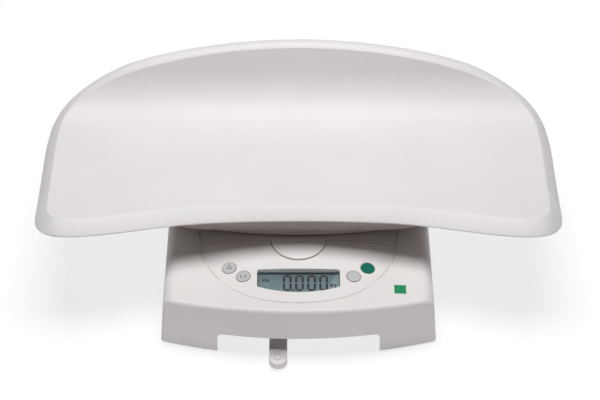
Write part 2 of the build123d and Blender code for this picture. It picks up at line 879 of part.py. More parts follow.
with BuildPart() as base_pan:
    add(pan_block)
    with BuildSketch():
        Rectangle(reach, reach)
    extrude(amount=rail_floor, mode=Mode.SUBTRACT)
    with BuildSketch():
        Rectangle(2 * channel_half, reach)
    extrude(amount=pan_floor, mode=Mode.SUBTRACT)
    add(pan_hollow.part, mode=Mode.SUBTRACT)
    with BuildSketch(Plane.XY.offset(rail_top)):
        with Locations(foot_spots):
            Rectangle(cell_side, cell_side)
            seat_room = cell_side - 2 * cell_seat_width
            Rectangle(seat_room, seat_room, mode=Mode.SUBTRACT)
    extrude(amount=cell_seat)
    with BuildSketch(Plane.XY.offset(pan_top)):
        with Locations(box_spot):
            Rectangle(2 * (box_half + box_wall), box_length + 2 * box_wall)
    extrude(amount=box_height)
    with BuildSketch(Plane.XY.offset(pan_floor)):
        with Locations(box_spot):
            Rectangle(2 * box_half, box_length)
    extrude(amount=pan_wall + box_height - box_wall, mode=Mode.SUBTRACT)
    with BuildSketch(Plane.XY.offset(lip_top - door_rail)):
        with Locations(box_spot):
            Rectangle(2 * (door_half + slip_gap + door_rail), rail_length)
            Rectangle(2 * (door_half - door_lip), rail_length, mode=Mode.SUBTRACT)
    extrude(amount=pan_floor - lip_top + door_rail)
    with BuildSketch(Plane.XY.offset(lip_top)):
        with Locations(box_spot):
            Rectangle(2 * (door_half + slip_gap), rail_length)
    extrude(amount=pan_floor - lip_top, mode=Mode.SUBTRACT)
    with BuildSketch(Plane.XY.offset(boss_low)):
        with Locations(pivot_spot):
            Circle(pivot_radius + bearing_wall)
    extrude(amount=pan_top - boss_low)
    with BuildSketch(Plane.XY):
        with Locations(foot_spots):
            Circle(stem_hole)
        with Locations(pivot_spot):
            Circle(pivot_radius + run_gap)
        with Locations(cell_screw_spots):
            Circle(cell_screw_shank + run_gap)
        with Locations(cover_screw_spots):
            Circle(cover_screw_hole)
    extrude(amount=pan_rim, mode=Mode.SUBTRACT)
base_pan.part.label = "base_pan"
export_step(base_pan.part, "parts/base_pan.step")

# Screws that hold the cover down on the pan
with BuildPart() as cover_screws:
    with BuildSketch(Plane.XY.offset(rail_floor - cover_screw_thick)):
        with Locations(cover_screw_spots):
            Circle(cover_screw_head)
    extrude(amount=cover_screw_thick)
    fillet(edges().group_by(Axis.Z)[0], cover_screw_thick / 3)
    with BuildSketch(Plane.XY.offset(rail_floor)):
        with Locations(cover_screw_spots):
            Circle(cover_screw_shank)
    extrude(amount=cover_screw_length)
cover_screws.part.label = "cover_screws"
export_step(cover_screws.part, "parts/cover_screws.step")

# Load cells with the feet under them
corners = ["front_left", "front_right", "back_left", "back_right"]
for corner, spot in zip(corners, foot_spots):
    slot_outer = cell_side - 2 * cell_rim
    slot_inner = slot_outer - 2 * cell_slot
    with BuildPart() as load_cell:
        with BuildSketch(Plane.XY.offset(cell_low)):
            with Locations(spot):
                Rectangle(cell_side, cell_side)
                Rectangle(slot_outer, slot_outer, mode=Mode.SUBTRACT)
            with Locations((spot[0], spot[1] + cell_slot)):
                Rectangle(slot_inner, slot_outer)
            with Locations(spot):
                Circle(stem_radius + run_gap, mode=Mode.SUBTRACT)
            with Locations(cell_screw_spots):
                Circle(cell_screw_shank + run_gap, mode=Mode.SUBTRACT)
        extrude(amount=cell_thick)
    load_cell.part.label = f"load_cell_{corner}"
    export_step(load_cell.part, f"parts/load_cell_{corner}.step")

    tip_low = pad_thick - pivot_tip_depth
    with BuildPart() as foot_pad:
        with BuildSketch():
            with Locations(spot):
                Circle(pad_foot_radius)
        extrude(amount=pad_thick)
        fillet(edges().group_by(Axis.Z)[0], pad_thick / 4)
        with BuildSketch(Plane.XY.offset(tip_low)):
            with Locations(spot):
                Circle(pivot_tip_radius + run_gap)
        extrude(amount=pad_thick, mode=Mode.SUBTRACT)
    foot_pad.part.label = f"foot_pad_{corner}"
    export_step(foot_pad.part, f"parts/foot_pad_{corner}.step")

    knob_low = pad_thick + seat_gap
    with BuildPart() as foot_screw:
        with BuildSketch(Plane.XY.offset(tip_low)):
            with Locations(spot):
                Circle(pivot_tip_radius)
        extrude(amount=pad_thick)
        with BuildSketch(Plane.XY.offset(knob_low)):
            with Locations(spot):
                Circle(knob_radius)
                with PolarLocations(knob_radius, knob_notches):
                    Circle(knob_notch, mode=Mode.SUBTRACT)
        extrude(amount=knob_thick)
        with BuildSketch(Plane.XY.offset(knob_low)):
            with Locations(spot):
                Circle(stem_radius)
        extrude(amount=stem_top - knob_low)
    foot_screw.part.label = f"foot_screw_{corner}"
    export_step(foot_screw.part, f"parts/foot_screw_{corner}.step")

with BuildPart() as cell_screws:
    with BuildSketch(Plane.XY.offset(cell_screw_end)):
        with Locations(cell_screw_spots):
            Circle(cell_screw_shank)
    extrude(amount=cell_screw_length)
    with BuildSketch(Plane.XY.offset(cell_top)):
        with Locations(cell_screw_spots):
            Circle(cell_screw_head)
    extrude(amount=cell_screw_thick)
cell_screws.part.label = "cell_screws"
export_step(cell_screws.part, "parts/cell_screws.step")

# Lock lever under the housing, its shaft, and the cam on top
hub_centre = pivot_spot[0]
arm_front = front - lever_reach + lever_width / 2
with BuildPart() as lock_lever:
    with BuildSketch(Plane.XY.offset(lever_bottom)):
        with Locations(hub_centre):
            Circle(hub_radius)
        with Locations((lever_across, arm_front)):
            Circle(lever_width / 2)
        with Locations((lever_across, (arm_front + hub_centre[1]) / 2)):
            Rectangle(lever_width, hub_centre[1] - arm_front)
    extrude(amount=lever_thick)
    fillet(edges().group_by(Axis.Z)[0], lever_round)
    fillet(edges().group_by(Axis.Z)[-1], lever_round)
    with BuildSketch(Plane.XY):
        with Locations(hub_centre):
            Circle(pivot_radius + run_gap)
    extrude(amount=pan_floor, mode=Mode.SUBTRACT)
lock_lever.part.label = "lock_lever"
export_step(lock_lever.part, "parts/lock_lever.step")

screw_low = pivot_top + cam_thick - cam_screw_length
shaft_bore = peg(pivot_spot, cam_screw_shank + run_gap, screw_low - seat_gap, pivot_top)
with BuildPart() as pivot_shaft:
    add(peg(pivot_spot, pivot_radius, lever_bottom, pivot_top))
    add(shaft_bore, mode=Mode.SUBTRACT)
pivot_shaft.part.label = "pivot_shaft"
export_step(pivot_shaft.part, "parts/pivot_shaft.step")

with BuildPart() as latch_cam:
    with BuildSketch(Plane.XY.offset(pivot_top)):
        with Locations(hub_centre):
            Circle(cam_hub)
        with Locations((lever_across, hub_centre[1] + cam_reach - cam_half)):
            Circle(cam_half)
        with Locations((lever_across, hub_centre[1] + (cam_reach - cam_half) / 2)):
            Rectangle(2 * cam_half, cam_reach - cam_half)
        with Locations(hub_centre):
            Circle(cam_screw_shank + run_gap, mode=Mode.SUBTRACT)
    extrude(amount=cam_thick)
latch_cam.part.label = "latch_cam"
export_step(latch_cam.part, "parts/latch_cam.step")

with BuildPart() as cam_screw:
    add(peg(pivot_spot, cam_screw_shank, screw_low, pivot_top + cam_thick))
    with BuildSketch(Plane.XY.offset(pivot_top + cam_thick)):
        with Locations(hub_centre):
            Circle(cam_screw_head)
    extrude(amount=cam_screw_thick)
    fillet(edges().group_by(Axis.Z)[-1], cam_screw_thick / 3)
cam_screw.part.label = "cam_screw"
export_step(cam_screw.part, "parts/cam_screw.step")

# Batteries: three rows of two, the middle row turned round
battery_height = pan_top + box_height - box_wall - seat_gap - battery_radius
box_far = box_near + box_length
rows = [
    (battery_across - battery_pitch, 1),
    (battery_across, -1),
    (battery_across + battery_pitch, 1),
]
count = 0
for across, turn in rows:
    minus_end = box_near + leaf_depth if turn == 1 else box_far - leaf_depth
    for step in (0, 1):
        start = minus_end + turn * step * (battery_length + battery_nub)
        axis = Plane(origin=(across, start, battery_height), x_dir=(1, 0, 0), z_dir=(0, turn, 0))
        count += 1
        with BuildPart() as battery:
            with BuildSketch(axis):
                Circle(battery_radius)
            extrude(amount=battery_length)
            with BuildSketch(axis):
                Circle(battery_nub_radius)
            extrude(amount=battery_length + battery_nub)
        battery.part.label = f"battery_{count}"
        export_step(battery.part, f"parts/battery_{count}.step")

# Battery contacts: plates that join the rows, with a sprung leaf at each minus end
link_centres = [
    (battery_across - battery_pitch / 2, box_near, 1, contact_width + battery_pitch),
    (battery_across + battery_pitch, box_near, 1, contact_width),
    (battery_across - battery_pitch, box_far, -1, contact_width),
    (battery_across + battery_pitch / 2, box_far, -1, contact_width + battery_pitch),
]
with BuildPart() as battery_contacts:
    for across, end, side, width in link_centres:
        plane = Plane(origin=(across, end, battery_height), x_dir=(1, 0, 0), z_dir=(0, side, 0))
        with BuildSketch(plane):
            Rectangle(width, contact_height)
        extrude(amount=contact_thick)
    for across, turn in rows:
        end = box_near if turn == 1 else box_far
        plane = Plane(origin=(across, end, battery_height), x_dir=(0, turn, 0), z_dir=(turn, 0, 0))
        half = leaf_height / 2
        with BuildSketch(plane):
            with BuildLine():
                outer = ThreePointArc((contact_thick, -half), (leaf_depth, 0), (contact_thick, half))
                inner = ThreePointArc(
                    (contact_thick, half - 2 * contact_thick),
                    (leaf_depth - contact_thick, 0),
                    (contact_thick, 2 * contact_thick - half),
                )
                Line(outer @ 1, inner @ 0)
                Line(inner @ 1, outer @ 0)
            make_face()
        extrude(amount=leaf_width / 2, both=True)
battery_contacts.part.label = "battery_contacts"
export_step(battery_contacts.part, "parts/battery_contacts.step")

# Battery door, sliding back on the pan's rails
rib_far = front + battery_middle + rail_length / 2 - door_rib_pitch
with BuildPart() as battery_door:
    with BuildSketch(Plane.XY.offset(door_low)):
        with Locations(box_spot):
            Rectangle(2 * door_half, rail_length)
    extrude(amount=door_thick)
    with BuildSketch(Plane.XY.offset(door_low - door_rib)):
        with Locations((battery_across, rib_far - (door_rib_count - 1) * door_rib_pitch / 2)):
            with GridLocations(0, door_rib_pitch, 1, door_rib_count):
                Rectangle(2 * door_rib_half, door_rib)
    extrude(amount=door_rib)
battery_door.part.label = "battery_door"
export_step(battery_door.part, "parts/battery_door.step")
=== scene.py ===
import bpy
import json
import numpy as np
from math import atan2, cos, hypot, pi, radians, sin
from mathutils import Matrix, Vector
from mathutils.bvhtree import BVHTree


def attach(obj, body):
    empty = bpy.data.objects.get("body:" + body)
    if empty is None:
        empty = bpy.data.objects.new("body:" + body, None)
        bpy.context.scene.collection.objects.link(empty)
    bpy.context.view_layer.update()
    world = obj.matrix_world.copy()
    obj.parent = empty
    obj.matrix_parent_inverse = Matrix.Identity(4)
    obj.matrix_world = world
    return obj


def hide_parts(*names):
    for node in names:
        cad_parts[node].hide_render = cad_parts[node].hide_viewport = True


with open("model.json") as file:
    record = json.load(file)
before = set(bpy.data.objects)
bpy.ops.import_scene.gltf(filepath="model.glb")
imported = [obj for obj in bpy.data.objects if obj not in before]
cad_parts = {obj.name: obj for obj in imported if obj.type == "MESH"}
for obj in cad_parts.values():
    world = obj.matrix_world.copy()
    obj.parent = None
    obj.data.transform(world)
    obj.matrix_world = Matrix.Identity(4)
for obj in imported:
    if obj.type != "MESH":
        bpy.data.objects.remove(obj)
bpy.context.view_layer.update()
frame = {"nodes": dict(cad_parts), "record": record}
nodes = frame["nodes"]

# Lengths are in millimetres and angles in radians. MM turns a length to metres where a mesh or a
# material takes it. The camera, the lights and the floor are placed in metres.
MM = 0.001

# Sizes shared with the CAD. A place is a distance behind the housing's front, where y is FRONT.
FRONT = -152.9295
TRAY_FLOOR, TRAY_WALL = 113.0, 3.0
FLAT_FRONT, FLAT_BACK = 150.0, 240.0
BACK_ROLL, BACK_ANGLE = 63.5, radians(65)
SEAM_PLACE, SEAM_HEIGHT = 105.0, 72.2
PANEL_LENGTH, PANEL_FRONT_HEIGHT = 87.0, 62.9
PANEL_RISE = atan2(SEAM_HEIGHT - PANEL_FRONT_HEIGHT, PANEL_LENGTH)
GLASS_TOP = -7.6
KEYS = {
    "key_triangle": (-72.8, 69.0),
    "key_arrows": (-57.8, 56.0),
    "key_hold": (57.8, 56.0),
    "key_start": (72.8, 69.0),
}


# Materials
def linear(hex_code):
    """Linear colour of an sRGB code: c / 12.92 up to 0.04045, ((c + 0.055) / 1.055) ^ 2.4 above."""
    channels = [int(hex_code[i:i + 2], 16) / 255 for i in (0, 2, 4)]
    return [c / 12.92 if c <= 0.04045 else ((c + 0.055) / 1.055) ** 2.4 for c in channels] + [1.0]


def feed(node, inputs):
    """Gives each input of a node its value, or a link from another node's output."""
    for key, value in inputs.items():
        if isinstance(value, bpy.types.NodeSocket):
            node.id_data.links.new(value, node.inputs[key])
        else:
            node.inputs[key].default_value = value


def add(tree, kind, inputs=None, stops=(), **settings):
    """New node with its settings, its inputs and a colour ramp's stops as (position, colour)."""
    node = tree.nodes.new(kind)
    for key, value in settings.items():
        setattr(node, key, value)
    feed(node, inputs or {})
    for element, stop in zip(node.color_ramp.elements if stops else (), stops):
        element.position, element.color = stop
    return node


def blank(name, **values):
    """New material with even values on its main shader: the material, its tree and that shader."""
    material = bpy.data.materials.new(name)
    material.use_nodes = True
    shader = material.node_tree.nodes["Principled BSDF"]
    feed(shader, {key.replace("_", " "): value for key, value in values.items()})
    return material, material.node_tree, shader


def finish(name, tones, gloss=None, grain=None, edge=None, **values):
    """Finish that varies by noise over the piece's own coordinates. Each noise has a size and a
    detail, and its scale is one over its size.

    tones: the dark and the light colour, and the noise that drifts between them.
    gloss: the low and the high roughness, and the noise between them.
    grain: the noise that stands in the surface, its depth and how strongly it shows.
    edge: the radius by which edges look rounded.
    """
    material, tree, shader = blank(name, **values)
    spot = {"Vector": add(tree, "ShaderNodeTexCoord").outputs["Object"]}
    dark, light, size, detail = tones
    drift = add(tree, "ShaderNodeTexNoise", {**spot, "Scale": 1 / (size * MM), "Detail": detail})
    stops = ((0.3, linear(dark)), (0.7, linear(light)))
    tone = add(tree, "ShaderNodeValToRGB", {"Fac": drift.outputs["Fac"]}, stops)
    feed(shader, {"Base Color": tone.outputs["Color"]})
    if gloss:
        low, high, size, detail = gloss
        haze = add(tree, "ShaderNodeTexNoise", {**spot, "Scale": 1 / (size * MM), "Detail": detail})
        span = {"From Min": 0.3, "From Max": 0.7, "To Min": low, "To Max": high}
        rough = add(tree, "ShaderNodeMapRange", {"Value": haze.outputs["Fac"], **span})
        feed(shader, {"Roughness": rough.outputs["Result"]})
    if grain:
        size, detail, depth, strength = grain
        pits = add(tree, "ShaderNodeTexNoise", {**spot, "Scale": 1 / (size * MM), "Detail": detail})
        relief = {"Height": pits.outputs["Fac"], "Distance": depth * MM, "Strength": strength}
        if edge:
            rounded = add(tree, "ShaderNodeBevel", {"Radius": edge * MM}, samples=4)
            relief["Normal"] = rounded.outputs["Normal"]
        feed(shader, {"Normal": add(tree, "ShaderNodeBump", relief).outputs["Normal"]})
    return material


def moulded(name, dark, light, rough=(0.42, 0.5), grain=0.6, depth=0.02, edge=0.4, shine=0.45):
    """Injection-moulded plastic or rubber. Its tone drifts over 90 mm and its gloss over 30 mm. The
    grain left by its mould, 0.1 to 0.3 mm on a real one, is drawn at 0.6 mm or at grain to show."""
    tones, gloss = (dark, light, 90, 3.0), (*rough, 30, 4.0)
    return finish(name, tones, gloss, (grain, 1.0, depth, 0.5), edge, Specular_IOR_Level=shine)


def worked_metal(name, dark, light, rough):
    """Machined or plated metal. Its tone drifts over 10 mm. Its fine tool or plating marks, 0.1 mm
    apart on a real one, are drawn 0.8 mm apart so that they show."""
    tones, gloss = (dark, light, 10, 3.0), (*rough, 0.8, 2.0)
    return finish(name, tones, gloss, (0.8, 2.0, 0.01, 0.4), Metallic=1.0)


def printed(name, dark, light, rough=0.5, shine=0.35):
    """Ink, film or shaded plastic of a marking, faintly mottled over 3 mm."""
    return finish(name, (dark, light, 3, 2.0), Roughness=rough, Specular_IOR_Level=shine)


def solder_resist():
    """Green solder resist, screened over copper tracks: satin green with faint paler lines. The
    tracks run round cells 2.8 by 1.4 mm, and a cell is half a unit of the pattern long."""
    material, tree, shader = blank("green_solder_resist", Roughness=0.35, Coat_Weight=0.3)
    tracks = add(tree, "ShaderNodeTexBrick", {
        "Vector": add(tree, "ShaderNodeTexCoord").outputs["Object"],
        "Scale": 0.5 / (2.7778 * MM),
        "Mortar Size": 0.03,
        "Color1": linear("0F5A2C"),
        "Color2": linear("0C4D26"),
        "Mortar": linear("1C7A40"),
    })
    feed(shader, {"Base Color": tracks.outputs["Color"]})
    return material


def clear_acrylic():
    """Polished clear acrylic sheet: light goes straight through, and more is mirrored at a low
    angle, by the Fresnel law for an index of 1.49."""
    material, tree, _ = blank("clear_acrylic_window")
    polish = {"Color": linear("FFFFFF"), "Roughness": 0.06}
    face = add(tree, "ShaderNodeMixShader", {
        0: add(tree, "ShaderNodeFresnel", {"IOR": 1.49}).outputs[0],
        1: add(tree, "ShaderNodeBsdfTransparent", {"Color": linear("EEF2F1")}).outputs[0],
        2: add(tree, "ShaderNodeBsdfGlossy", polish).outputs[0],
    })
    feed(tree.nodes["Material Output"], {"Surface": face.outputs[0]})
    return material


def reflective_lcd_painted_shade():
    """Liquid crystal glass over a reflector: grey green, with painted shade: darker towards the
    back, where the window's top wall shades it, and paler towards its front edge by an even ramp
    from place 64 to place 33. The reflector's sparkle is drawn at 0.9 mm so that it shows."""
    material, tree, shader = blank("reflective_lcd_painted_shade", Roughness=0.3, Specular_IOR_Level=0.4)
    spot = {"Vector": add(tree, "ShaderNodeTexCoord").outputs["Object"]}
    depth = add(tree, "ShaderNodeSeparateXYZ", spot).outputs["Y"]
    # Painted shade: the ramp darkens the glass towards the back, where the window's top wall shades
    # it
    span = {"From Min": (FRONT + 64) * MM, "From Max": (FRONT + 33) * MM}
    fade = add(tree, "ShaderNodeMapRange", {"Value": depth, **span})
    stops = ((0.0, linear("8A9BA0")), (1.0, linear("AFBFC6")))
    tone = add(tree, "ShaderNodeValToRGB", {"Fac": fade.outputs["Result"]}, stops)
    drift = add(tree, "ShaderNodeTexNoise", {**spot, "Scale": 1 / (0.9 * MM), "Detail": 2.0})
    span = {"From Min": 0.3, "From Max": 0.7, "To Min": 0.97, "To Max": 1.03}
    sparkle = add(tree, "ShaderNodeMapRange", {"Value": drift.outputs["Fac"], **span})
    lit = {0: tone.outputs["Color"], "Scale": sparkle.outputs["Result"]}
    lit = add(tree, "ShaderNodeVectorMath", lit, operation="SCALE")
    feed(shader, {"Base Color": lit.outputs["Vector"]})
    return material


# White ABS, injection moulded: warm white with a satin face
white_abs = moulded("white_abs_moulded", "E4E0DF", "E8E4E3")
# The same ABS on the tray, from a finer mould: softer highlights
tray_abs = moulded("white_abs_tray", "E4E1E0", "E8E5E4", rough=(0.46, 0.54), depth=0.01)
# Grey ABS of the bracket under the tray, moulded, seen only in shade. Its dark grey is partly the
# plastic's own grey and partly painted shade: the shade it lies in under the tray
bracket_painted_shade = moulded("grey_abs_bracket_painted_shade", "A0948F", "A69A95")
# Key caps, moulded ABS in light grey and in green: nearly matt
grey_key = moulded("grey_key_plastic", "C0BEC0", "C6C4C5", (0.5, 0.6), edge=0.3, shine=0.2)
green_key = moulded("green_key_plastic", "006651", "006E58", (0.55, 0.65), edge=0.3, shine=0.15)
# Glass-filled nylon, moulded: near black and satin on the display frame, the cam and the switches
black_nylon = moulded("black_nylon", "1B1B1D", "242426", (0.5, 0.65))
# The same in charcoal on the foot knobs
charcoal_nylon = moulded("charcoal_nylon_knob", "2B2C2E", "36373A", (0.5, 0.62))
# Black rubber of the foot pads, moulded with a coarser and deeper grain: matt
black_rubber = moulded("black_rubber", "151515", "1F1F1F", (0.75, 0.9), grain=1.0, depth=0.05)
# Silicone of the display's connector strips, cast: matt brown grey
silicone = moulded("silicone_strip", "5C534E", "6A605A", (0.6, 0.75))

CAD_MATERIALS = {
    "white_abs": white_abs,
    "grey_key": grey_key,
    "green_key": green_key,
    "dark_plastic": black_nylon,
    "switch_black": black_nylon,
    "foot_plastic": charcoal_nylon,
    "foot_rubber": black_rubber,
    "zebra_rubber": silicone,
    # Zinc-plated steel of the screws and the shaft: bright grey
    "steel": worked_metal("zinc_plated_steel", "A9ABAD", "BFC1C2", (0.25, 0.4)),
    # Machined aluminium of the load cells: pale, a little duller
    "cell_aluminium": worked_metal("machined_aluminium", "B9BBBE", "CACCCE", (0.3, 0.45)),
    # Nickel-plated spring steel of the battery contacts: warm and bright
    "contact_steel": worked_metal("nickel_plated_contact", "B5B2AC", "CFCCC6", (0.2, 0.32)),
    # Lacquered metal sleeve of the dry cells: glossy dark blue, its gloss drifting over 6 mm
    "battery_wrap": finish(
        "battery_sleeve",
        ("1C2B57", "26386B", 20, 2.0),
        (0.25, 0.4, 6, 2.0),
        Metallic=0.4,
        Coat_Weight=0.4,
    ),
    # Cast acrylic vial filled with spirit: a clear yellow green
    "level_vial": finish(
        "level_vial_acrylic",
        ("B7D24A", "C6DE62", 4, 2.0),
        Roughness=0.08,
        Transmission_Weight=0.6,
        IOR=1.49,
    ),
    "board_green": solder_resist(),
    "window_clear": clear_acrylic(),
    "lcd": reflective_lcd_painted_shade(),
}

# Inks, films and shaded plastic of the markings
lcd_ink = printed("lcd_segment_ink", "382D36", "3F333D", 0.4)
deep_shade = printed("shaded_groove_grey", "6A6461", "726C69", 0.7)
light_shade = printed("shaded_step_grey", "BDB7B5", "C3BDBB", 0.6)
key_shade = printed("key_gap_painted_shade", "9C9693", "A29C99", 0.6)
key_ink = printed("key_print_grey", "55545B", "605F66")
green_vinyl = printed("green_vinyl_square", "1E8658", "269264", 0.5, 0.15)
mark_shade = printed("moulded_mark_shade", "B4AEAC", "BAB4B2", 0.6)


def smooth_by_angle(weld=0.002, crease=28):
    """Modifier nodes that weld the CAD's loose triangles, and shade them smooth apart from edges
    that turn by crease degrees or more."""
    tree = bpy.data.node_groups.new("smooth_by_angle", "GeometryNodeTree")
    for way in ("INPUT", "OUTPUT"):
        tree.interface.new_socket("Geometry", in_out=way, socket_type="NodeSocketGeometry")
    loose = {"Geometry": add(tree, "NodeGroupInput").outputs[0], "Distance": weld * MM}
    welded = add(tree, "GeometryNodeMergeByDistance", loose).outputs["Geometry"]
    smooth = add(tree, "GeometryNodeSetShadeSmooth", {"Geometry": welded}, domain="FACE")
    turn = add(tree, "GeometryNodeInputMeshEdgeAngle").outputs["Unsigned Angle"]
    turn = {"A": turn, "B": radians(crease)}
    soft = add(tree, "FunctionNodeCompare", turn, data_type="FLOAT", operation="LESS_THAN")
    kept = {"Geometry": smooth.outputs["Geometry"], "Shade Smooth": soft.outputs["Result"]}
    creased = add(tree, "GeometryNodeSetShadeSmooth", kept, domain="EDGE")
    add(tree, "NodeGroupOutput", {0: creased.outputs["Geometry"]})
    return tree


smoothing = smooth_by_angle()
slots = {part["node"]: part["material_slot"] for part in frame["record"]["subparts"]}
for name, obj in nodes.items():
    obj.data.materials.clear()
    obj.data.materials.append(bracket_painted_shade if name == "tray_mount" else CAD_MATERIALS[slots[name]])
    obj.modifiers.new("smooth", "NODES").node_group = smoothing
    obj.modifiers.new("weighted", "WEIGHTED_NORMAL").keep_sharp = True


def make(name, points, faces, material, body, slot, sharp=30):
    """New mesh piece that rides on a CAD body. Edges that turn by over sharp degrees stay sharp."""
    mesh = bpy.data.meshes.new(name)
    mesh.from_pydata((points * MM).tolist(), [], faces)
    mesh.validate()
    mesh.materials.append(material)
    mesh.shade_smooth()
    mesh.set_sharp_from_angle(angle=radians(sharp))
    obj = bpy.data.objects.new(name, mesh)
    bpy.context.scene.collection.objects.link(obj)
    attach(obj, body)
    return obj


# Tray. Its plan is drawn as (x, run), run being the length along the trough's section from the
# front of its flat. The front's rise follows the photograph.
FRONT_ROLL, FRONT_ANGLE = 160.0, 0.249

# Right half of the crease where the lip starts, from the back's middle to the front's
CREASE = [
    (0.0, 188.7), (60.0, 185.9), (109.0, 179.6), (145.0, 172.6), (172.0, 165.6), (196.0, 157.6),
    (216.0, 148.8), (231.0, 140.2), (246.0, 128.7), (255.5, 117.3), (261.5, 104.0), (264.0, 85.0),
    (265.0, 60.0), (265.0, 30.0), (265.0, 0.0), (264.6, -26.1), (263.4, -46.8), (260.4, -62.1),
    (253.7, -71.6), (242.3, -74.9), (226.3, -74.3), (207.4, -71.1), (182.4, -64.6), (149.6, -55.2),
    (109.8, -46.2), (59.9, -41.6), (0.0, -39.9),
]
CREASE_STEPS = 420
MIDDLE = np.array([0.0, 60.0])
# Rings of the trough's inside and underside, as shares of the way from the middle to the crease
INSIDE = np.concatenate([np.linspace(0.04, 0.92, 26), [0.96, 0.985, 1.0]])
UNDERSIDE = np.concatenate([[1.0, 0.985], np.linspace(0.95, 0.04, 22)])

# Lip's width, drop and crown by the angle that it faces: front edge, front corners, sides, three
# angles round the back corners, back edge. They are evened out over LIP_BLEND steps each way.
LIP_FACING = (-pi / 2, -pi / 4, 0.0, 0.3, 0.6, 1.0, pi / 2)
LIP_OUT = (14.2, 15.0, 13.4, 14.2, 12.2, 9.4, 7.7)
LIP_DROP = (13.7, 14.0, 14.0, 14.0, 13.7, 13.2, 12.5)
LIP_CROWN = (0.4, 0.6, 1.0, 1.3, 1.7, 2.1, 2.4)
LIP_BLEND = 8
LIP_EDGE = 1.2
# Steps over the lip: 8 down its bevel, 9 round its edge and 2 back inside. Each has its share of
# the lip's reach, its length past that, its share of the crown, and its fall below the bevel.
bevel, turns = np.array([0.08, 0.2, 0.35, 0.5, 0.65, 0.8, 0.92, 1.0]), pi * np.arange(1, 10) / 9
STEP_SHARE = np.concatenate([bevel, np.ones(9), [0.7, 0.4]])
STEP_PAST = LIP_EDGE * np.concatenate([np.zeros(8), np.sin(turns), [0.0, 0.0]])
STEP_CROWN = np.concatenate([4 * bevel * (1 - bevel), np.zeros(11)])
STEP_FALL = LIP_EDGE * np.concatenate([np.zeros(8), 1 - np.cos(turns), [2.0, 2.0]])


def trough(run, depth):
    """Place, height and slope on the trough's section, or depth below it along its normal.

    The section is a flat, and at each end of it an arc of its roll's radius and then a straight. An
    arc's turn is the length along it over its radius, until it reaches the straight's angle.
    """
    flat = FLAT_BACK - FLAT_FRONT
    ahead, behind = np.maximum(-run, 0.0), np.maximum(run - flat, 0.0)
    down = np.minimum(ahead / FRONT_ROLL, FRONT_ANGLE)
    up = np.minimum(behind / BACK_ROLL, BACK_ANGLE)
    ahead, behind = ahead - down * FRONT_ROLL, behind - up * BACK_ROLL
    place = FLAT_FRONT + np.clip(run, 0.0, flat)
    place = place - FRONT_ROLL * np.sin(down) - ahead * np.cos(down)
    place = place + BACK_ROLL * np.sin(up) + behind * np.cos(up)
    height = TRAY_FLOOR + FRONT_ROLL * (1 - np.cos(down)) + ahead * np.sin(down)
    height = height + BACK_ROLL * (1 - np.cos(up)) + behind * np.sin(up)
    slope = up - down
    return place + depth * np.sin(slope), height - depth * np.cos(slope), slope


def smooth_loop(points, count, fine=24):
    """Closed curve through points, at count even steps.

    It is a centripetal Catmull-Rom curve: its parameter grows by the square root of each gap, and
    four points in a row are blended pair by pair, three times over, in proportion to it.
    """
    points = np.array(points, float)[:, None]
    p0, p1, p2, p3 = (np.roll(points, shift, 0) for shift in (1, 0, -1, -2))
    pairs = (p0, p1), (p1, p2), (p2, p3)
    g0, g1, g2 = (np.sqrt(np.linalg.norm(b - a, axis=2, keepdims=True)) for a, b in pairs)
    t0, t1, t2, t3 = 0.0, g0, g0 + g1, g0 + g1 + g2
    t = t1 + g1 * np.linspace(0, 1, fine, endpoint=False)[:, None]

    def blend(a, b, start, end):
        return ((end - t) * a + (t - start) * b) / (end - start)

    early = blend(blend(p0, p1, t0, t1), blend(p1, p2, t1, t2), t0, t2)
    late = blend(blend(p1, p2, t1, t2), blend(p2, p3, t2, t3), t1, t3)
    curve = blend(early, late, t1, t2).reshape(-1, 2)
    curve = np.vstack([curve, curve[:1]])
    length = np.concatenate([[0], np.cumsum(np.linalg.norm(np.diff(curve, axis=0), axis=1))])
    wanted = np.linspace(0, length[-1], count, endpoint=False)
    return np.column_stack([np.interp(wanted, length, axis) for axis in curve.T])


def lip(out, drop, crown):
    """Lip's steps outward and up from the crease, as a grid of its steps by the crease's points.

    The bevel is the straight line from the crease, out and drop away, with a rise of 4 crown t
    (1 - t) at share t of it. Its end rolls round a half circle of LIP_EDGE and comes back below.
    """
    length = np.hypot(out, drop)
    along = STEP_SHARE[:, None] * (length - LIP_EDGE) + STEP_PAST[:, None]
    off = STEP_CROWN[:, None] * crown - STEP_FALL[:, None]
    return (out * along + drop * off) / length, (out * off - drop * along) / length


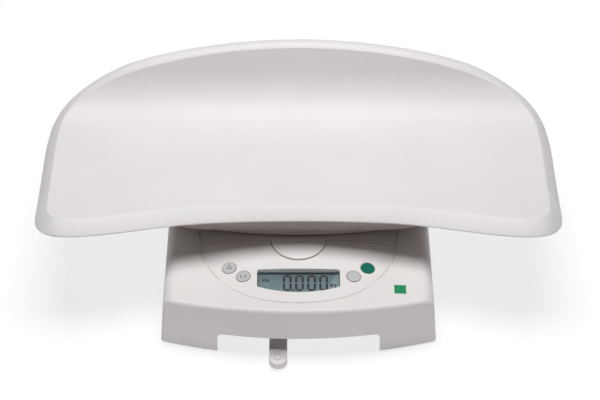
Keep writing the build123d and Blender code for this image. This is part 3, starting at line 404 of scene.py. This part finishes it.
def moulded_tray():
    """Tray as one closed skin of rings: its inside, its lip and its underside.

    A ring's point lies at its share of the way from the middle to the crease, is laid on the
    trough, and is then moved outward and up in the trough's own plane there.
    """
    crease = smooth_loop(CREASE + [(-x, run) for x, run in CREASE[-2:0:-1]], CREASE_STEPS)
    ahead = np.roll(crease, -1, 0) - np.roll(crease, 1, 0)
    outward = np.stack([-ahead[:, 1], ahead[:, 0]]) / np.linalg.norm(ahead, axis=1)
    facing = np.arctan2(outward[1], np.abs(outward[0]))
    sizes = np.stack([np.interp(facing, LIP_FACING, row) for row in (LIP_OUT, LIP_DROP, LIP_CROWN)])
    sizes = np.mean([np.roll(sizes, k, 1) for k in range(-LIP_BLEND, LIP_BLEND + 1)], axis=0)

    inside, lip_rings, under = len(INSIDE), len(STEP_SHARE), len(UNDERSIDE)
    padding = ((inside, under), (0, 0))
    out, up = (np.pad(steps, padding) for steps in lip(*sizes))
    share = np.concatenate([INSIDE, np.ones(lip_rings), UNDERSIDE])[:, None, None]
    depth = np.repeat([0.0, TRAY_WALL], [inside + lip_rings, under])[:, None]
    x, run = np.moveaxis(MIDDLE + (crease - MIDDLE) * share, 2, 0)
    place, height, slope = trough(run, depth)
    forth = outward[1] * out
    points = np.stack([
        x + outward[0] * out,
        FRONT + place + forth * np.cos(slope) - up * np.sin(slope),
        height + forth * np.sin(slope) + up * np.cos(slope),
    ], axis=2)

    index = np.arange(x.size).reshape(x.shape)
    beside = np.roll(index, -1, 1)
    faces = np.stack([index[:-1], beside[:-1], beside[1:], index[1:]], axis=2).reshape(-1, 4)
    ends = [index[0, ::-1].tolist(), index[-1].tolist()]
    return points.reshape(-1, 3), faces.tolist() + ends


tray = make("tray_shell_moulded", *moulded_tray(), tray_abs, "tray", "white_abs", 24)
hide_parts("tray_shell")


# Markings: thin flat shapes, drawn as (x, place) corners and laid LIFT above what carries them
LIFT = 0.02


def on_glass(shape, lift):
    """Points lift above the display's glass, where a corner's second number is its distance from
    the seam up the panel's slope, and the slope turns that distance and the lift to y and z."""
    (x, run), rise = shape.T, GLASS_TOP + lift
    place = SEAM_PLACE + run * cos(PANEL_RISE) - rise * sin(PANEL_RISE)
    height = SEAM_HEIGHT + run * sin(PANEL_RISE) + rise * cos(PANEL_RISE)
    return np.column_stack([x, FRONT + place, height])


def on_node(name, sky=400.0):
    """Lays points lift above the top side of a CAD piece, where a ray straight down from the sky
    over each of them first meets it."""
    mesh = nodes[name].data
    triangles = [tuple(triangle.vertices) for triangle in mesh.polygons]
    tree = BVHTree.FromPolygons([corner.co for corner in mesh.vertices], triangles)

    def lay(shape, lift):
        points = np.column_stack([shape[:, 0], FRONT + shape[:, 1], np.full(len(shape), sky)])
        down = Vector((0.0, 0.0, -1.0))
        points[:, 2] = [tree.ray_cast(Vector(point), down)[0].z / MM for point in points * MM]
        return points + (0.0, 0.0, lift)

    return lay


def inlay(name, shapes, material, lay, body, slot, thick=0.06):
    """Thin prisms: each shape is laid LIFT above the surface and again thick higher, and walled
    round. One that runs clockwise is turned round first, so that every face points outwards."""
    points, faces, start = [], [], 0
    for shape in shapes:
        x, place = shape.T
        if x @ np.roll(place, -1) < place @ np.roll(x, -1):
            shape = shape[::-1]
        points += [lay(shape, LIFT), lay(shape, LIFT + thick)]
        low = start + np.arange(len(shape))
        high = low + len(shape)
        faces += [low[::-1].tolist(), high.tolist()]
        faces += np.column_stack([low, np.roll(low, -1), np.roll(high, -1), high]).tolist()
        start += 2 * len(shape)
    return make(name, np.vstack(points), faces, material, body, slot)


def line(path, width, closed=False):
    """Line along a path, as four-cornered shapes that share their ends.

    At each point its sides lie on the mitre of the two runs that meet there: half the width times
    (m + n) / (1 + m . n), m and n being the normals of the runs.
    """
    path = np.array(path, float)
    before, after = path - np.roll(path, 1, 0), np.roll(path, -1, 0) - path
    if not closed:
        before[0], after[-1] = after[0], before[-1]
    m, n = (np.column_stack([-v[:, 1], v[:, 0]]) / np.hypot(*v.T)[:, None] for v in (before, after))
    mitre = width / 2 * (m + n) / (1 + np.sum(m * n, axis=1))[:, None]
    left, right = path + mitre, path - mitre
    shapes = np.stack([left, np.roll(left, -1, 0), np.roll(right, -1, 0), right], axis=1)
    return list(shapes if closed else shapes[:-1])


def arc(x, place, across, along, first, last, steps):
    """Points on an ellipse with these half axes, from the first angle to the last, in degrees."""
    turn = np.radians(np.linspace(first, last, steps))
    return np.column_stack([x + across * np.cos(turn), place + along * np.sin(turn)])


# Each segment's middle, in half widths and half heights of its digit, and whether it is upright
SEGMENTS = {
    "a": (0, 1, False), "g": (0, 0, False), "d": (0, -1, False),
    "f": (-1, 0.5, True), "b": (1, 0.5, True), "e": (-1, -0.5, True), "c": (1, -0.5, True),
}
# Gap between the points of two segments, as a share of their thickness
SEGMENT_GAP = 0.12


def digit(x, place, width, height, lit, thick):
    """Seven-segment digit: each lit segment is a bar whose ends come to a point at 45 degrees."""
    shapes = []
    for middle_x, middle_y, upright in (SEGMENTS[key] for key in SEGMENTS if key in lit):
        end = ((height / 2 if upright else width) - SEGMENT_GAP * thick) / 2
        side, flat = thick / 2, end - thick / 2
        bar = [(-end, 0), (-flat, side), (flat, side), (end, 0), (flat, -side), (-flat, -side)]
        bar = np.array([(-b, a) for a, b in bar] if upright else bar)
        shapes.append(bar + (x + middle_x * width / 2, place + middle_y * height / 2))
    return shapes


# Display: four digits and their point, the unit sign on the right, the small zero sign on the left
shapes = []
for x in (-11.7, 1.0, 13.7, 26.4):
    shapes += digit(x, -54.7, 6.9, 18.9, "abcdef", 2.5)
shapes += [np.array([(-6.8, -65.6), (-4.6, -65.6), (-4.6, -63.4), (-6.8, -63.4)])]
shapes += line([(33.8, -59.5), (33.8, -54.9)], 1.1)
shapes += line([(36.1, -56.2), (34.3, -57.8), (36.1, -59.5)], 1.0)
shapes += digit(38.2, -58.8, 1.7, 4.0, "abcdfg", 1.0)
shapes += digit(-34.5, -51.0, 1.7, 3.4, "abcdef", 0.8)
shapes += line([(-38.0, -51.0), (-36.4, -49.6), (-36.4, -52.4)], 0.7, True)
shapes += line([(-31.0, -51.0), (-32.6, -49.6), (-32.6, -52.4)], 0.7, True)
inlay("display_digits", shapes, lcd_ink, on_glass, "housing", "lcd")

# Deep gaps that are too fine for the render, drawn in the grey of their shade: the window's side
# walls, the groove along the platform's front, and the pad's edge
on_cover = on_node("top_cover")
shapes = []
for x in (-43.0, 43.0):
    shapes += line([(x, place) for place in np.linspace(42.5, 63.6, 7)], 0.8)
inlay("display_walls", shapes, deep_shade, on_node("display_window"), "housing", "white_abs")
shapes = line([(x, 104.2) for x in np.linspace(-102.6, 102.6, 33)], 0.8)
shapes += line(arc(0.0, 105.0, 29.2, 29.2, -174, -6, 30), 0.8)
inlay("groove_line", shapes, deep_shade, on_cover, "housing", "white_abs")

# Painted shade of the fine step round the control panel and of the gaps round the keys, drawn as
# grey lines
panel_edge = [
    (104.7, 95.5), (99.6, 79.6), (88.6, 62.9), (77.8, 48.0),
    (67.1, 37.4), (52.6, 28.4), (36.1, 22.4), (15.7, 18.8),
]
panel_edge = [(-x, place) for x, place in panel_edge] + [(0.0, 17.9)] + panel_edge[::-1]
inlay("panel_step", line(panel_edge, 0.8), light_shade, on_cover, "housing", "white_abs")
shapes = []
for x, place in KEYS.values():
    shapes += line(arc(x, place, 7.7, 7.7, 0, 350, 36), 0.5, True)
inlay("key_gaps", shapes, key_shade, on_cover, "housing", "white_abs")

# Dark grey signs printed on the two keys on the left
shapes = line([(-75.4, 67.8), (-70.4, 67.8), (-72.9, 72.9)], 0.7, True)
inlay("sign_triangle", shapes, key_ink, on_node("key_triangle"), "key_triangle", "grey_key")
shapes = line([(-59.0, 57.7), (-61.3, 55.5), (-59.0, 53.3)], 0.7)
shapes += line([(-56.6, 57.7), (-54.3, 55.5), (-56.6, 53.3)], 0.7)
inlay("sign_arrows", shapes, key_ink, on_node("key_arrows"), "key_arrows", "grey_key")

# Plain square of green vinyl film on the right shoulder, in 4 by 4 cells so that it follows the
# crown
cell = np.array([(0.0, 0.0), (3.075, 0.0), (3.075, 3.1), (0.0, 3.1)])
shapes = [cell + (99.8 + 3.075 * i, 33.6 + 3.1 * j) for i in range(4) for j in range(4)]
inlay("green_square", shapes, green_vinyl, on_cover, "housing", "white_abs", 0.12)

# Ring and two arcs moulded on the lever's end, drawn in the grey of their shade
shapes = line(arc(-21.6, -9.0, 3.4, 4.0, 0, 345, 24), 0.6, True)
shapes += line(arc(-21.6, -9.2, 7.2, 6.8, 22, 158, 14), 0.5)
shapes += line(arc(-21.6, -8.8, 7.0, 5.2, -28, 20, 7), 0.5)
inlay("lever_mark", shapes, mark_shade, on_node("lock_lever"), "lever", "white_abs", 0.22)


# Camera and lights
def stand(name, data, place, turn):
    """Puts a camera or a light in the scene, at a place in metres and turned by these angles."""
    obj = bpy.data.objects.new(name, data)
    obj.location, obj.rotation_euler = place, turn
    bpy.context.scene.collection.objects.link(obj)
    return obj


def soft_light(name, place, size, power, aim=(0.0, 0.0, 0.1)):
    """Rectangular soft light, in metres and watts, turned to face its aim."""
    light = bpy.data.lights.new(name, "AREA")
    light.shape, light.size, light.size_y, light.energy = "RECTANGLE", *size, power
    x, y, z = (a - b for a, b in zip(aim, place))
    stand(name, light, place, (pi / 2 + atan2(z, hypot(x, y)), 0.0, atan2(-x, y)))


# The camera looks down at 41 degrees, as the photograph's does
camera = bpy.data.cameras.new("camera")
camera.sensor_width, camera.lens, camera.shift_x = 36.0, 114.0, 0.0025
camera_place = (0.0, FRONT * MM - 1.3928, 1.4295)
bpy.context.scene.camera = stand("camera", camera, camera_place, (radians(49), 0.0, 0.0))
soft_light("top_light", (0.0, 0.18, 1.95), (1.4, 0.95), 37.0)
soft_light("front_fill", (0.0, -2.6, 0.2), (2.6, 0.35), 12.0)

# Matt white paper under the object. It is as white as the photograph's floor and keeps the shadow:
# where it is seen, directly or mirrored, 0.72 of it is an even glow.
paper = finish(
    "white_paper_floor", ("FAFAFA", "FCFCFC", 200, 2.0), Roughness=0.9, Specular_IOR_Level=0.2
)
tree = paper.node_tree
rays = add(tree, "ShaderNodeLightPath").outputs
seen = {0: rays["Is Glossy Ray"], 1: rays["Is Transmission Ray"]}
seen = add(tree, "ShaderNodeMath", seen, operation="MAXIMUM").outputs[0]
seen = {0: rays["Is Camera Ray"], 1: seen}
seen = add(tree, "ShaderNodeMath", seen, operation="MAXIMUM").outputs[0]
glow = {"Color": linear("FFFFFF"), "Strength": 1.085}
lifted = add(tree, "ShaderNodeMixShader", {
    0: add(tree, "ShaderNodeMath", {0: seen, 1: 0.72}, operation="MULTIPLY").outputs[0],
    1: tree.nodes["Principled BSDF"].outputs[0],
    2: add(tree, "ShaderNodeEmission", glow).outputs[0],
})
feed(tree.nodes["Material Output"], {"Surface": lifted.outputs[0]})
mesh = bpy.data.meshes.new("floor")
mesh.from_pydata([(-20, -20, 0), (20, -20, 0), (20, 20, 0), (-20, 20, 0)], [], [(0, 1, 2, 3)])
mesh.materials.append(paper)
ground = bpy.data.objects.new("floor", mesh)
bpy.context.scene.collection.objects.link(ground)

# Dim studio all round, paler overhead
world = bpy.data.worlds.new("soft_box")
bpy.context.scene.world = world
world.use_nodes = True
tree = world.node_tree
way = add(tree, "ShaderNodeTexCoord").outputs["Generated"]
height = add(tree, "ShaderNodeSeparateXYZ", {"Vector": way}).outputs["Z"]
stops = ((0.0, linear("909090")), (0.6, linear("FFFFFF")))
fade = add(tree, "ShaderNodeValToRGB", {"Fac": height}, stops).outputs["Color"]
feed(tree.nodes["Background"], {"Color": fade, "Strength": 0.03})
bpy.context.scene.view_settings.view_transform = "Standard"
